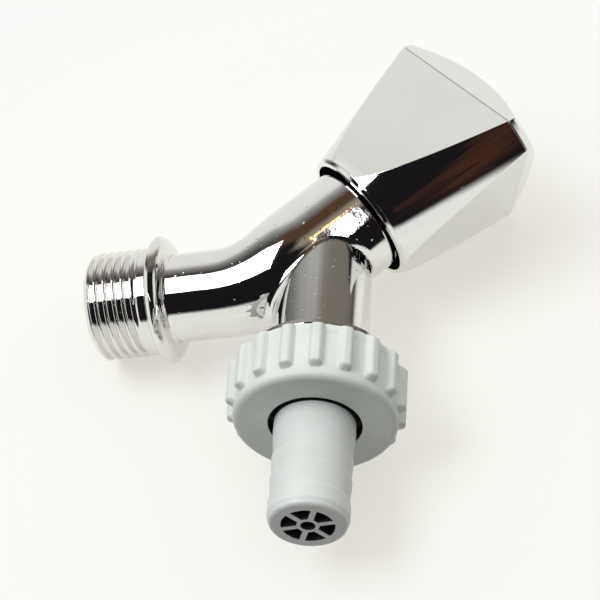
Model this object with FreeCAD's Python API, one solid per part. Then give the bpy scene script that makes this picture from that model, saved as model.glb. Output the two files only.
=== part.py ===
import FreeCAD, Part
import math
import os
from FreeCAD import Vector

# Washing machine valve: a chromed Y body with a screw-down headwork, a three-sided handle
# and a plastic hose union with a spring check valve.
# Millimetres. The origin is the middle of the collar's wall face: +X leaves the wall, +Z is up.

# Inlet: G1/2 male thread, collar and tube
inlet_thread_r = 10.4775
inlet_thread_length = 12.5
inlet_chamfer = 1.0
inlet_bore_r = 6.2
collar_r = 12.4
collar_width = 2.9
collar_crest = 1.3
collar_foot = 0.5
collar_front_bow = 0.3
collar_back_bow = 0.6
tube_r = 8.6
tube_fillet = 0.7
inlet_stop = 6.3

# Where the three legs of the body meet
outlet_x = 32.85
crossing_z = 9.72
barrel_tilt = 40.0
bend_tangent = 9.0
bend_sections = 5
bend_lead = 2.0

# Barrel that holds the headwork; its own measure runs along its axis from the crossing
barrel_r = 10.9
neck_end = 11.8
chamber_r = 7.6
chamber_top = 4.0
joint_fillet = 2.2
joint_fillet_share = 1.2

# Seat in the body
seat_level = -8.5
port_r = 4.75
port_wall = 2.0
lip_width = 1.0
lip_height = 1.2

# Outlet leg and its G3/4 male thread
outlet_r = 8.95
outlet_bore_r = 6.2
outlet_thread_r = 13.22
outlet_thread_length = 7.4
outlet_flare = 3.2
outlet_end = -26.65
outlet_chamfer = 0.8

# Clearances
shaft_gap = 0.1
thread_gap = 0.2
seat_gap = 0.05

# How far a cutting tool runs past the face it cuts
overrun = 1.0

# How near two lengths must be to count as one
tolerance = 1e-6

# Bonnet of the headwork
bonnet_thread_r = 8.33
bonnet_end = 0.5
bonnet_skirt_r = 7.3
bonnet_shoulder = 14.0
bonnet_top = 24.0
bonnet_sleeve_r = 6.5
hex_across = 19.0
hex_height = 5.5
hex_chamfer = 1.2
hex_chamfer_angle = 30.0
gasket_width = 2.07
gasket_thickness = 1.2

# Jumper that carries the seat washer, guided by a hexagon in the bonnet
guide_across = 11.2
jumper_top = 7.0
jumper_flange_r = 6.4
jumper_flange = 1.5
washer_r = 6.2
washer_thickness = 3.0
stud_r = 1.5
stud_past_nut = 0.5
washer_nut_across = 5.0
washer_nut_height = 1.7
lift = 3.75

# Spindle
lead_screw_r = 3.4
lead_screw_end = 1.0
spindle_r = 4.5
thrust_collar_r = 5.4
thrust_collar_height = 2.0
thrust_washer_thickness = 0.5
o_ring_section_r = 0.7
lower_o_ring_rise = 3.0
upper_o_ring_rise = 6.5
o_ring_groove_width = 1.8
clip_thickness = 0.9
clip_r = 5.8
clip_groove_depth = 0.75
clip_opening = 2.6
spline_r = 4.0
spline_depth = 0.4
spline_teeth = 20
spline_length = 7.7
spline_start = 25.8

# Three-sided handle
handle_rim = 7.77
handle_rim_r = 13.14
handle_lip_out = 0.41
handle_lip = 0.85
handle_corner_level = 36.5
handle_corner_r = 21.8
handle_facet = 13.72
handle_facet_in = 0.09
handle_corner_turn = -34.2
handle_sides = 3
handle_top = 42.8
dome_r = 50.0
upper_draft = 15.0
handle_wall = 1.0
rim_wall = 0.85
mouth_depth = 3.0
corner_wall = 2.6
roof_wall = 2.2
hub_r = 7.6
hub_foot = 26.0

# Screw and cap of the handle
screw_r = 2.0
screw_length = 8.0
screw_hole_depth = 9.0
screw_head_r = 3.6
screw_head_height = 2.3
screw_crown = 1.0
screw_crown_bow = 0.35
screw_flat_r = 2.0
screw_web = 2.2
screw_slot = 3.4
screw_slot_width = 0.9
screw_slot_depth = 1.1
well_r = 4.6
cap_r = 6.0
cap_thickness = 2.2
cap_plug_depth = 1.6
cap_plug_wall = 0.9

# Union nut with grip ribs
nut_height = 11.85
nut_r = 15.2
nut_flange = 2.6
nut_hole_r = 8.66
nut_round = 1.3
rib_root = 0.5
rib_count = 18
rib_r = 16.7
rib_width = 2.55
rib_foot = 2.3
rib_round = 0.6
rib_top_fall = 0.9
rib_turn = -76.0

# Hose tail
seal_thickness = 2.0
seal_r = 12.0
seal_hole_r = 6.4
tail_collar_r = 12.2
tail_collar = 2.4
tail_root_r = 8.0
tail_waist_r = 7.25
tail_waist_drop = 6.2
tail_flare_bow = 0.15
barb_r = 7.45
barb_valley_r = 7.15
barb_drops = (7.5, 12.0, 16.9)
barb_step = 0.45
tip_land = 2.8
tail_drop = 21.65
tip_round = 0.8
tail_bore_r = 5.6
tail_lower_bore_r = 5.2
tail_bore_step = 13.4

# Spider at the tip of the hose tail
spider_thickness = 2.4
spider_window_r = 4.87
spoke_count = 6
spoke_width = 1.05
spoke_root = 0.2
spoke_turn = -62.8
spider_hub_r = 2.05
spider_hub_height = 6.8
stem_r = 1.25

# Check valve in the hose tail
check_seat_r = 6.6
check_seat_thickness = 2.2
check_seat_bore_r = 3.6
check_seal_r = 4.6
check_seal_thickness = 0.75
poppet_r = 4.6
poppet_thickness = 1.6
poppet_boss_r = 2.6
poppet_boss_height = 1.2
poppet_boss_chamfer = 0.9
stem_length = 18.3
spring_wire_r = 0.3
spring_gap = 0.35
spring_turns = 7

# Levels worked out from the sizes above
thrust_top = bonnet_shoulder - thrust_washer_thickness - 2 * seat_gap
collar_under = thrust_top - thrust_collar_height
lower_o_ring_level = bonnet_shoulder + lower_o_ring_rise
upper_o_ring_level = bonnet_shoulder + upper_o_ring_rise
hex_under = neck_end + gasket_thickness
hex_top = hex_under + hex_height
washer_top = seat_level + washer_thickness
flange_top = washer_top + jumper_flange
jumper_across = guide_across - 2 * shaft_gap
jumper_hole_end = lead_screw_end - lift - thread_gap
spline_top = spline_start + spline_length
web_under = spline_top + thread_gap
web_top = web_under + screw_web
cap_under = handle_top - cap_thickness
collar_top_z = outlet_end - seal_thickness
collar_under_z = collar_top_z - tail_collar
nut_bottom_z = collar_under_z - nut_flange
nut_top_z = nut_bottom_z + nut_height
tip_z = nut_bottom_z - tail_drop
spider_top_z = tip_z + spider_thickness
check_seat_under_z = collar_top_z - check_seat_thickness
poppet_top_z = check_seat_under_z - check_seal_thickness
poppet_under_z = poppet_top_z - poppet_thickness
corner_x = outlet_x - crossing_z / math.tan(math.radians(barrel_tilt))
bend_start = corner_x - bend_tangent
quarter_bow = 1 - math.sqrt(0.5)
gasket_r = bonnet_thread_r + gasket_width
handle_lip_r = handle_rim_r + handle_lip_out
handle_facet_low = handle_rim_r - handle_facet_in

up = Vector(0, 0, 1)
crosswise = Vector(0, 1, 0)
from_wall = FreeCAD.Placement(Vector(0, 0, 0), FreeCAD.Rotation(crosswise, 90.0))
along_barrel = FreeCAD.Placement(
    Vector(outlet_x, 0, crossing_z), FreeCAD.Rotation(crosswise, 90.0 - barrel_tilt))
down_outlet = FreeCAD.Placement(Vector(outlet_x, 0, 0), FreeCAD.Rotation())


def placed(shape, place):
    moved = shape.copy()
    moved.Placement = place.multiply(moved.Placement)
    return moved


def outline(points):
    """Closed wire in the XZ plane. A point is (r, z), or ((r, z), (r, z)) for an arc's middle and end."""
    edges = []
    first = Vector(points[0][0], 0, points[0][1])
    last = first
    for point in points[1:]:
        if isinstance(point[0], tuple):
            middle = Vector(point[0][0], 0, point[0][1])
            end = Vector(point[1][0], 0, point[1][1])
            edges.append(Part.Arc(last, middle, end).toShape())
        else:
            end = Vector(point[0], 0, point[1])
            edges.append(Part.makeLine(last, end))
        last = end
    if last.distanceToPoint(first) > tolerance:
        edges.append(Part.makeLine(last, first))
    return Part.Wire(edges)


def bowed(start, end, bow):
    """Arc of an outline from start to end; a positive bow stands its middle outwards."""
    run_r = end[0] - start[0]
    run_z = end[1] - start[1]
    share = bow / math.hypot(run_r, run_z)
    return ((start[0] + end[0]) / 2 + share * run_z, (start[1] + end[1]) / 2 - share * run_r), end


def turned(points):
    """Solid turned about Z from an outline of (r, z) points."""
    return Part.Face(outline(points)).revolve(Vector(0, 0, 0), up, 360)


def cylinder(radius, low, high):
    return Part.makeCylinder(radius, high - low, Vector(0, 0, low))


def ring(inner, outer, low, high):
    return cylinder(outer, low, high).cut(cylinder(inner, low, high))


def prism(points, low, high):
    corners = [Vector(x, y, low) for x, y in points]
    face = Part.Face(Part.makePolygon(corners + corners[:1]))
    return face.extrude(Vector(0, 0, high - low))


def hexagon(across, low, high):
    corner_r = across / 2 / math.cos(math.pi / 6)
    turns = [math.pi / 3 * k for k in range(6)]
    return prism([(corner_r * math.cos(a), corner_r * math.sin(a)) for a in turns], low, high)


def splined(outer, depth, low, high):
    """Straight spline: teeth of that depth under the outer radius."""
    half_pitch = math.pi / spline_teeth
    points = []
    for k in range(2 * spline_teeth):
        radius = outer if k % 2 == 0 else outer - depth
        points.append((radius * math.cos(k * half_pitch), radius * math.sin(k * half_pitch)))
    return prism(points, low, high)


def bend_section(centre, share):
    """Round section of the bend: 0 is the tube, 1 is the barrel."""
    swell = 0.5 - 0.5 * math.cos(math.pi * share)
    circle = Part.makeCircle(tube_r + (barrel_r - tube_r) * swell)
    circle.Placement = FreeCAD.Placement(centre, FreeCAD.Rotation(crosswise, 90.0 - barrel_tilt * share))
    return Part.Wire([circle])


def make_valve_body():
    foot = (inlet_thread_r + collar_foot, 0)
    crest = (collar_r, collar_crest)
    back = (tube_r + tube_fillet, collar_width)
    tube_start = (tube_r, collar_width + tube_fillet)
    inlet = placed(turned([
        (0, -inlet_thread_length),
        (inlet_thread_r - inlet_chamfer, -inlet_thread_length),
        (inlet_thread_r, inlet_chamfer - inlet_thread_length),
        (inlet_thread_r, 0),
        foot,
        bowed(foot, crest, collar_front_bow),
        bowed(crest, back, collar_back_bow),
        bowed(back, tube_start, -quarter_bow * tube_fillet),
        (tube_r, bend_start - bend_lead),
        (0, bend_start - bend_lead),
    ]), from_wall)

    # The bend swells from the tube to the barrel along an arc tangent to both axes
    bend_r = bend_tangent / math.tan(math.radians(barrel_tilt / 2))
    sections = [bend_section(Vector(bend_start - bend_lead, 0, 0), 0.0)]
    for k in range(bend_sections):
        share = k / (bend_sections - 1)
        turn = math.radians(barrel_tilt * share)
        rise = bend_r * (1 - math.cos(turn))
        sections.append(bend_section(Vector(bend_start + bend_r * math.sin(turn), 0, rise), share))
    barrel_foot = bend_tangent + bend_lead - crossing_z / math.sin(math.radians(barrel_tilt))
    sections.append(bend_section(along_barrel.multVec(Vector(0, 0, barrel_foot)), 1.0))
    bend = Part.makeLoft(sections, True, False)
    barrel = placed(cylinder(barrel_r, barrel_foot, neck_end), along_barrel)

    thread_top = outlet_end + outlet_thread_length
    outlet = placed(turned([
        (0, crossing_z),
        (outlet_r, crossing_z),
        (outlet_r, thread_top + outlet_flare),
        (outlet_thread_r, thread_top),
        (outlet_thread_r, outlet_end + outlet_chamfer),
        (outlet_thread_r - outlet_chamfer, outlet_end),
        (0, outlet_end),
    ]), down_outlet)

    body = inlet.fuse([bend, barrel, outlet]).removeSplitter()
    # The barrel's overhang over the outlet leg bounds the fillet in their joint
    fillet_r = min(joint_fillet, joint_fillet_share * (barrel_r - outlet_r))
    body = body.makeFillet(fillet_r, outlet_joint_edges(body))

    bore = placed(cylinder(inlet_bore_r, -inlet_thread_length, corner_x - inlet_stop), from_wall)
    round_end = Part.makeSphere(inlet_bore_r, Vector(corner_x - inlet_stop, 0, 0))
    port_start = -crossing_z / math.sin(math.radians(barrel_tilt))
    port = placed(cylinder(port_r, port_start, seat_level), along_barrel)

    floor = seat_level - lip_height
    chamber = cylinder(chamber_r, floor, chamber_top)
    lip = cylinder(port_r + lip_width, floor, seat_level)
    chamber = placed(chamber.cut(lip), along_barrel)
    neck = placed(cylinder(bonnet_thread_r + thread_gap, chamber_top, neck_end), along_barrel)
    port_tube = placed(cylinder(port_r + port_wall, port_start - port_r, floor), along_barrel)
    lip_tube = placed(lip, along_barrel)
    waterway = placed(cylinder(outlet_bore_r, outlet_end, crossing_z), down_outlet)
    waterway = waterway.cut([port_tube, lip_tube])
    return body.cut([bore, round_end, port, chamber, neck, waterway])


def outlet_joint_edges(body):
    """Edges where the wall of the outlet leg meets the bend and the barrel."""
    chosen = []
    for edge in body.Edges:
        faces = body.ancestorsOfType(edge, Part.Face)
        on_outlet = [is_outlet_wall(face) for face in faces]
        if any(on_outlet) and not all(on_outlet):
            middle = edge.valueAt((edge.FirstParameter + edge.LastParameter) / 2)
            if middle.z > outlet_end + outlet_thread_length + outlet_flare + tolerance:
                chosen.append(edge)
    return chosen


def is_outlet_wall(face):
    surface = face.Surface
    if not isinstance(surface, Part.Cylinder):
        return False
    return abs(abs(surface.Axis.z) - 1) < tolerance and abs(surface.Radius - outlet_r) < tolerance


def make_bonnet():
    turned_part = turned([
        (0, bonnet_end),
        (bonnet_skirt_r, bonnet_end),
        (bonnet_skirt_r, chamber_top),
        (bonnet_thread_r, chamber_top + (bonnet_thread_r - bonnet_skirt_r)),
        (bonnet_thread_r, hex_under),
        (bonnet_sleeve_r, hex_under),
        (bonnet_sleeve_r, bonnet_top),
        (0, bonnet_top),
    ])
    hex_corner = hex_across / 2 / math.cos(math.pi / 6)
    crown = turned([
        (0, hex_under),
        (hex_corner, hex_under),
        (hex_corner, hex_top - hex_chamfer * math.tan(math.radians(hex_chamfer_angle))),
        (hex_corner - hex_chamfer, hex_top),
        (0, hex_top),
    ])
    bonnet = turned_part.fuse(hexagon(hex_across, hex_under, hex_top).common(crown))
    guide = hexagon(guide_across, bonnet_end, bonnet_shoulder)
    shaft = cylinder(spindle_r + shaft_gap, bonnet_shoulder, bonnet_top)
    return placed(bonnet.cut([guide, shaft]), along_barrel)


def make_bonnet_gasket():
    return placed(ring(bonnet_thread_r + thread_gap, gasket_r, neck_end, hex_under), along_barrel)


def make_jumper():
    sleeve = hexagon(jumper_across, flange_top, jumper_top)
    flange = cylinder(jumper_flange_r, washer_top, flange_top)
    stud = cylinder(stud_r, seat_level - washer_nut_height - stud_past_nut, washer_top)
    hole = cylinder(lead_screw_r + shaft_gap, jumper_hole_end, jumper_top)
    return placed(sleeve.fuse([flange, stud]).cut(hole), along_barrel)


def make_seat_washer():
    return placed(ring(stud_r + seat_gap, washer_r, seat_level, washer_top), along_barrel)


def make_washer_nut():
    low = seat_level - washer_nut_height
    nut = hexagon(washer_nut_across, low, seat_level)
    return placed(nut.cut(cylinder(stud_r + seat_gap, low, seat_level)), along_barrel)


def make_spindle():
    shaft = [
        (0, lead_screw_end),
        (lead_screw_r, lead_screw_end),
        (lead_screw_r, collar_under),
        (thrust_collar_r, collar_under),
        (thrust_collar_r, thrust_top),
        (spindle_r, thrust_top),
    ]
    groove_r = spindle_r - 2 * o_ring_section_r
    for level in (lower_o_ring_level, upper_o_ring_level):
        low = level - o_ring_groove_width / 2
        high = level + o_ring_groove_width / 2
        shaft += [(spindle_r, low), (groove_r, low), (groove_r, high), (spindle_r, high)]
    clip_low = bonnet_top + seat_gap
    clip_high = clip_low + clip_thickness + 2 * seat_gap
    neck_r = spindle_r - clip_groove_depth
    shaft += [(spindle_r, clip_low), (neck_r, clip_low), (neck_r, clip_high), (spindle_r, clip_high)]
    shaft += [(spindle_r, spline_start), (0, spline_start)]
    spline = splined(spline_r, spline_depth, spline_start, spline_top)
    hole = cylinder(screw_r + seat_gap, spline_top - screw_hole_depth, spline_top)
    return placed(turned(shaft).fuse(spline).cut(hole), along_barrel)


def make_thrust_washer():
    low = thrust_top + seat_gap
    washer = ring(spindle_r + seat_gap, thrust_collar_r, low, low + thrust_washer_thickness)
    return placed(washer, along_barrel)


def make_o_ring(level):
    middle_r = spindle_r - o_ring_section_r + seat_gap / 2
    torus = Part.makeTorus(middle_r, o_ring_section_r - seat_gap / 2, Vector(0, 0, level))
    return placed(torus, along_barrel)


def make_spindle_clip():
    low = bonnet_top + 2 * seat_gap
    clip = ring(spindle_r - clip_groove_depth + seat_gap, clip_r, low, low + clip_thickness)
    opening = Part.makeBox(2 * clip_r, clip_opening, clip_thickness, Vector(0, -clip_opening / 2, low))
    return placed(clip.cut(opening), along_barrel)


def facet_cutters(inset):
    """Blocks that cut the flat sides, set in by an inset: they lean out to the corner level, then in."""
    reach = 2 * handle_corner_r
    low = handle_rim + handle_lip
    high = handle_top + overrun
    share = handle_lip / (handle_corner_level - handle_rim)
    low_facet = handle_facet_low + (handle_facet - handle_facet_low) * share - inset
    facet = handle_facet - inset
    lean = (high - handle_corner_level) * math.tan(math.radians(upper_draft))
    side = outline([
        (low_facet, low),
        (facet, handle_corner_level),
        (facet - lean, high),
        (reach, high),
        (reach, low),
    ])
    block = Part.Face(side).extrude(Vector(0, 2 * reach, 0))
    block.translate(Vector(0, -reach, 0))
    cutters = []
    for k in range(handle_sides):
        cutter = block.copy()
        cutter.rotate(Vector(0, 0, 0), up, handle_corner_turn + 180.0 / handle_sides * (2 * k + 1))
        cutters.append(cutter)
    return cutters


def dome(inset):
    """Ball whose top is the dome of the handle, or stands that far under it."""
    return Part.makeSphere(dome_r - inset, Vector(0, 0, handle_top - dome_r))


def make_handle():
    # The sides widen to the corner level, where the mould parts, and lean in above it
    lean = (handle_top - handle_corner_level) * math.tan(math.radians(upper_draft))
    solid = turned([
        (0, handle_rim),
        (handle_rim_r, handle_rim),
        (handle_lip_r, handle_rim + handle_lip),
        (handle_corner_r, handle_corner_level),
        (handle_corner_r - lean, handle_top),
        (0, handle_top),
    ])
    solid = solid.common(dome(0.0)).cut(facet_cutters(0.0))

    # The hollow keeps an even wall behind the sides and under the dome
    mouth_r = handle_rim_r - rim_wall
    hollow_r = handle_corner_r - corner_wall
    hollow = turned([
        (0, handle_rim),
        (mouth_r, handle_rim),
        (mouth_r, handle_rim + mouth_depth),
        (hollow_r, handle_corner_level),
        (hollow_r, handle_top),
        (0, handle_top),
    ])
    hollow = hollow.common(dome(roof_wall)).cut(facet_cutters(handle_wall))
    hub = cylinder(hub_r, hub_foot, handle_top)
    handle = solid.cut(hollow.cut(hub))
    socket = splined(spline_r + shaft_gap, spline_depth, hub_foot, web_under)
    screw_hole = cylinder(screw_r + thread_gap, web_under, web_top)
    well = cylinder(well_r, web_top, cap_under)
    cap_seat = cylinder(cap_r + shaft_gap, cap_under, handle_top + overrun)
    return placed(handle.cut([socket, screw_hole, well, cap_seat]), along_barrel)


def make_handle_screw():
    shank = cylinder(screw_r, spline_top - screw_length, web_top)
    head_top = web_top + screw_head_height
    brow = (screw_head_r, head_top - screw_crown)
    head = turned([
        (0, web_top),
        (screw_head_r, web_top),
        brow,
        bowed(brow, (screw_flat_r, head_top), screw_crown_bow),
        (0, head_top),
    ])
    arms = []
    for length, width in ((screw_slot, screw_slot_width), (screw_slot_width, screw_slot)):
        corner = Vector(-length / 2, -width / 2, head_top - screw_slot_depth)
        arms.append(Part.makeBox(length, width, screw_slot_depth, corner))
    return placed(shank.fuse(head).cut(arms), along_barrel)


def make_handle_cap():
    disc = cylinder(cap_r, cap_under, handle_top).common(dome(0.0))
    plug_r = well_r - shaft_gap
    plug = ring(plug_r - cap_plug_wall, plug_r, cap_under - cap_plug_depth, cap_under)
    return placed(disc.fuse(plug), along_barrel)


def make_union_nut():
    round_start = (nut_r - nut_round, nut_bottom_z)
    round_end = (nut_r, nut_bottom_z + nut_round)
    shell = turned([
        (nut_hole_r, nut_bottom_z),
        round_start,
        bowed(round_start, round_end, quarter_bow * nut_round),
        (nut_r, nut_top_z),
        (outlet_thread_r + thread_gap, nut_top_z),
        (outlet_thread_r + thread_gap, collar_under_z),
        (nut_hole_r, collar_under_z),
    ])
    rib_low = nut_bottom_z + rib_foot
    half = rib_width / 2
    rib = turned([
        (0, rib_low),
        (half - rib_round, rib_low),
        (half, rib_low + rib_round),
        (half, nut_top_z),
        (0, nut_top_z),
    ])
    grip = turned([
        (nut_r - rib_root, rib_low),
        (rib_r + half, rib_low),
        (rib_r + half, nut_top_z - rib_top_fall),
        (rib_r, nut_top_z - rib_top_fall),
        (nut_r, nut_top_z),
        (nut_r - rib_root, nut_top_z),
    ])
    ribs = []
    for k in range(rib_count):
        bar = rib.copy()
        bar.translate(Vector(rib_r - half, 0, 0))
        bar.rotate(Vector(0, 0, 0), up, rib_turn + 360.0 / rib_count * k)
        ribs.append(bar.common(grip))
    return placed(shell.fuse(ribs), down_outlet)


def make_hose_tail():
    root = (tail_root_r, nut_bottom_z)
    waist = (tail_waist_r, nut_bottom_z - tail_waist_drop)
    profile = [
        (0, collar_top_z),
        (tail_collar_r, collar_top_z),
        (tail_collar_r, collar_under_z),
        (tail_root_r, collar_under_z),
        root,
        bowed(root, waist, tail_flare_bow),
    ]
    for k, drop in enumerate(barb_drops):
        ridge_z = nut_bottom_z - drop
        profile.append((barb_valley_r if k else tail_waist_r, ridge_z))
        profile.append((barb_r, ridge_z - barb_step))
    land_z = nut_bottom_z - barb_drops[-1] - barb_step - tip_land
    round_start = (barb_valley_r, tip_z + tip_round)
    round_end = (barb_valley_r - tip_round, tip_z)
    profile += [
        (barb_r, land_z),
        round_start,
        bowed(round_start, round_end, -quarter_bow * tip_round),
        (0, tip_z),
    ]
    tail = turned(profile)

    bore_step_z = nut_bottom_z - tail_bore_step
    seat_recess = cylinder(check_seat_r + seat_gap, check_seat_under_z, collar_top_z)
    upper_bore = cylinder(tail_bore_r, bore_step_z, check_seat_under_z)
    lower_bore = cylinder(tail_lower_bore_r, spider_top_z, bore_step_z)
    tail = tail.cut([seat_recess, upper_bore, lower_bore, cylinder(spider_window_r, tip_z, spider_top_z)])

    spokes = []
    for k in range(spoke_count):
        corner = Vector(0, -spoke_width / 2, tip_z)
        spoke = Part.makeBox(spider_window_r + spoke_root, spoke_width, spider_thickness, corner)
        spoke.rotate(Vector(0, 0, 0), up, spoke_turn + 360.0 / spoke_count * k)
        spokes.append(spoke)
    hub = cylinder(spider_hub_r, tip_z, tip_z + spider_hub_height)
    tail = tail.fuse(spokes + [hub])
    tail = tail.cut(cylinder(stem_r + shaft_gap, tip_z, tip_z + spider_hub_height))
    return placed(tail.removeSplitter(), down_outlet)


def make_union_seal():
    return placed(ring(seal_hole_r, seal_r, collar_top_z, outlet_end), down_outlet)


def make_check_seat():
    return placed(ring(check_seat_bore_r, check_seat_r, check_seat_under_z, collar_top_z), down_outlet)


def make_check_poppet():
    boss_top_z = poppet_top_z + poppet_boss_height
    poppet = turned([
        (0, boss_top_z),
        (poppet_boss_r - poppet_boss_chamfer, boss_top_z),
        (poppet_boss_r, boss_top_z - poppet_boss_chamfer),
        (poppet_boss_r, poppet_top_z),
        (poppet_r, poppet_top_z),
        (poppet_r, poppet_under_z),
        (stem_r, poppet_under_z),
        (stem_r, poppet_under_z - stem_length),
        (0, poppet_under_z - stem_length),
    ])
    return placed(poppet, down_outlet)


def make_check_seal():
    seal = ring(poppet_boss_r + seat_gap, check_seal_r, poppet_top_z, check_seat_under_z)
    return placed(seal, down_outlet)


def make_check_spring():
    coil_r = spider_hub_r + spring_gap + spring_wire_r
    low = spider_top_z + spring_wire_r + seat_gap
    high = poppet_under_z - spring_wire_r - seat_gap
    helix = Part.makeHelix((high - low) / spring_turns, high - low, coil_r)
    section = Part.Wire([Part.makeCircle(spring_wire_r, Vector(coil_r, 0, 0), crosswise)])
    spring = Part.Wire(helix.Edges).makePipeShell([section], True, True)
    spring.translate(Vector(0, 0, low))
    return placed(spring, down_outlet)


nodes = {
    "valve_body": make_valve_body,
    "bonnet": make_bonnet,
    "bonnet_gasket": make_bonnet_gasket,
    "spindle": make_spindle,
    "thrust_washer": make_thrust_washer,
    "lower_o_ring": lambda: make_o_ring(lower_o_ring_level),
    "upper_o_ring": lambda: make_o_ring(upper_o_ring_level),
    "spindle_clip": make_spindle_clip,
    "jumper": make_jumper,
    "seat_washer": make_seat_washer,
    "washer_nut": make_washer_nut,
    "handle": make_handle,
    "handle_screw": make_handle_screw,
    "handle_cap": make_handle_cap,
    "union_nut": make_union_nut,
    "hose_tail": make_hose_tail,
    "union_seal": make_union_seal,
    "check_seat": make_check_seat,
    "check_poppet": make_check_poppet,
    "check_seal": make_check_seal,
    "check_spring": make_check_spring,
}

os.makedirs("parts", exist_ok=True)
for name, make in nodes.items():
    shape = make()
    shape.exportStep("parts/" + name + ".step")
    state = "valid" if shape.isValid() else "broken"
    print(name, len(shape.Solids), "solid", round(shape.Volume, 1), "mm3", state)
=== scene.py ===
import bpy
import math
import numpy as np
from mathutils import Matrix, Vector


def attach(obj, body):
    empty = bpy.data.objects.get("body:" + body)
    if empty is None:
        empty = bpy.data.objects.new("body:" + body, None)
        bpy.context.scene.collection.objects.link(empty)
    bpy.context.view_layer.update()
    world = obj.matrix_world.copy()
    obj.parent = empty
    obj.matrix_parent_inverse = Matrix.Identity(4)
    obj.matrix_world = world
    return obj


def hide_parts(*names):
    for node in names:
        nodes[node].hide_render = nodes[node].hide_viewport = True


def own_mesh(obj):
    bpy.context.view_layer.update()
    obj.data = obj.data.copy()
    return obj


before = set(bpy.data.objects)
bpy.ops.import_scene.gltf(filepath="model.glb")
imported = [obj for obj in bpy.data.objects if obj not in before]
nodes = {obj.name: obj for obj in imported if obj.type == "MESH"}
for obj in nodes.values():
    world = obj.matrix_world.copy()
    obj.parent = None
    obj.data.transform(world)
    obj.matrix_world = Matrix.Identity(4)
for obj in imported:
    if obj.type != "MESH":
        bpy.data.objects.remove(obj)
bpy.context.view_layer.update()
scene = bpy.context.scene
mm = 0.001
print("frame loaded:", len(nodes), "nodes")

# camera, as in the photograph: the valve lies on its side and is seen from under its handle
shot = {
    "right": (0.96438541, 0.25707186, 0.06224826),
    "up": (0.11204572, -0.61023383, 0.78425789),
    "back": (0.23959663, -0.74935221, -0.6173044),
    "place": (138.547, -345.44, -288.45),
    "lens": 145.8,
    "sensor": 36.0,
}
right, up, back = (Vector(shot[k]) for k in ("right", "up", "back"))


def aim(across, above):  # direction that many degrees right of and above the line to the camera
    turn = math.hypot(across, above)
    side = (right * across + up * above) / max(turn, 1e-9)
    return back * math.cos(math.radians(turn)) + side * math.sin(math.radians(turn))


def makeCamera():
    data = bpy.data.cameras.new("camera")
    data.lens = shot["lens"]
    data.sensor_width = shot["sensor"]
    data.clip_start = 0.01
    camera = bpy.data.objects.new("camera", data)
    spin = Matrix((right, up, back)).transposed().to_4x4()
    camera.matrix_world = Matrix.Translation(Vector(shot["place"]) * mm) @ spin
    scene.collection.objects.link(camera)
    scene.camera = camera


class Wire:  # a node's output socket that can be used in sums
    def __init__(self, tree, socket):
        self.tree = tree
        self.socket = socket

    @classmethod
    def add(cls, tree, kind, settings=None, sockets=None, out=0):  # any node: settings first, then its sockets
        node = tree.nodes.new(kind)
        for key, value in (settings or {}).items():
            if key == "stops":
                while len(node.color_ramp.elements) < len(value):
                    node.color_ramp.elements.new(1.0)
                for stop, (place, colour) in zip(node.color_ramp.elements, value):
                    stop.position = place
                    stop.color = colour
            else:
                setattr(node, key, value)
        for key, value in (sockets or {}).items():
            if isinstance(value, Wire):
                tree.links.new(value.socket, node.inputs[key])
            else:
                node.inputs[key].default_value = value
        return cls(tree, node.outputs[out]) if len(node.outputs) else None

    def maths(self, operation, first, second=0.0):
        return Wire.add(self.tree, "ShaderNodeMath", {"operation": operation}, {0: first, 1: second})

    def __add__(self, other):
        return self.maths("ADD", self, other)

    def __radd__(self, other):
        return self.maths("ADD", other, self)

    def __sub__(self, other):
        return self.maths("SUBTRACT", self, other)

    def __rsub__(self, other):
        return self.maths("SUBTRACT", other, self)

    def __mul__(self, other):
        return self.maths("MULTIPLY", self, other)

    def __rmul__(self, other):
        return self.maths("MULTIPLY", other, self)

    def __truediv__(self, other):
        return self.maths("DIVIDE", self, other)

    def __rtruediv__(self, other):
        return self.maths("DIVIDE", other, self)


def ease(value, low, high):  # 0 below low, 1 above high, smooth between
    settings = {"interpolation_type": "SMOOTHSTEP"}
    return Wire.add(value.tree, "ShaderNodeMapRange", settings, {0: value, 1: low, 2: high, 3: 0.0, 4: 1.0})


def mixColour(share, first, second):
    settings = {"data_type": "RGBA"}
    return Wire.add(share.tree, "ShaderNodeMix", settings, {0: share, 6: first, 7: second}, out=2)


def rayKind(tree, kind):  # 1 for rays of that kind
    return Wire.add(tree, "ShaderNodeLightPath", None, None, out=f"Is {kind} Ray")


def newMaterial(name):
    material = bpy.data.materials.new(name)
    material.use_nodes = True
    tree = material.node_tree
    tree.nodes.clear()
    return material, tree


def surface(tree, shader):
    Wire.add(tree, "ShaderNodeOutputMaterial", None, {"Surface": shader})


# table under the valve, which lies on the handle's corner, the nut's ribs and the thread
table = {
    "normal": (0.150, -0.989, 0.013),
    "drop": 12.15,
    "half": 0.5,
    "colour": (0.42, 0.44, 0.455, 1.0),
    "glow": (0.55, 0.53, 0.475, 1.0),
    "clearRadius": (0.045, 0.14),
}

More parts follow.
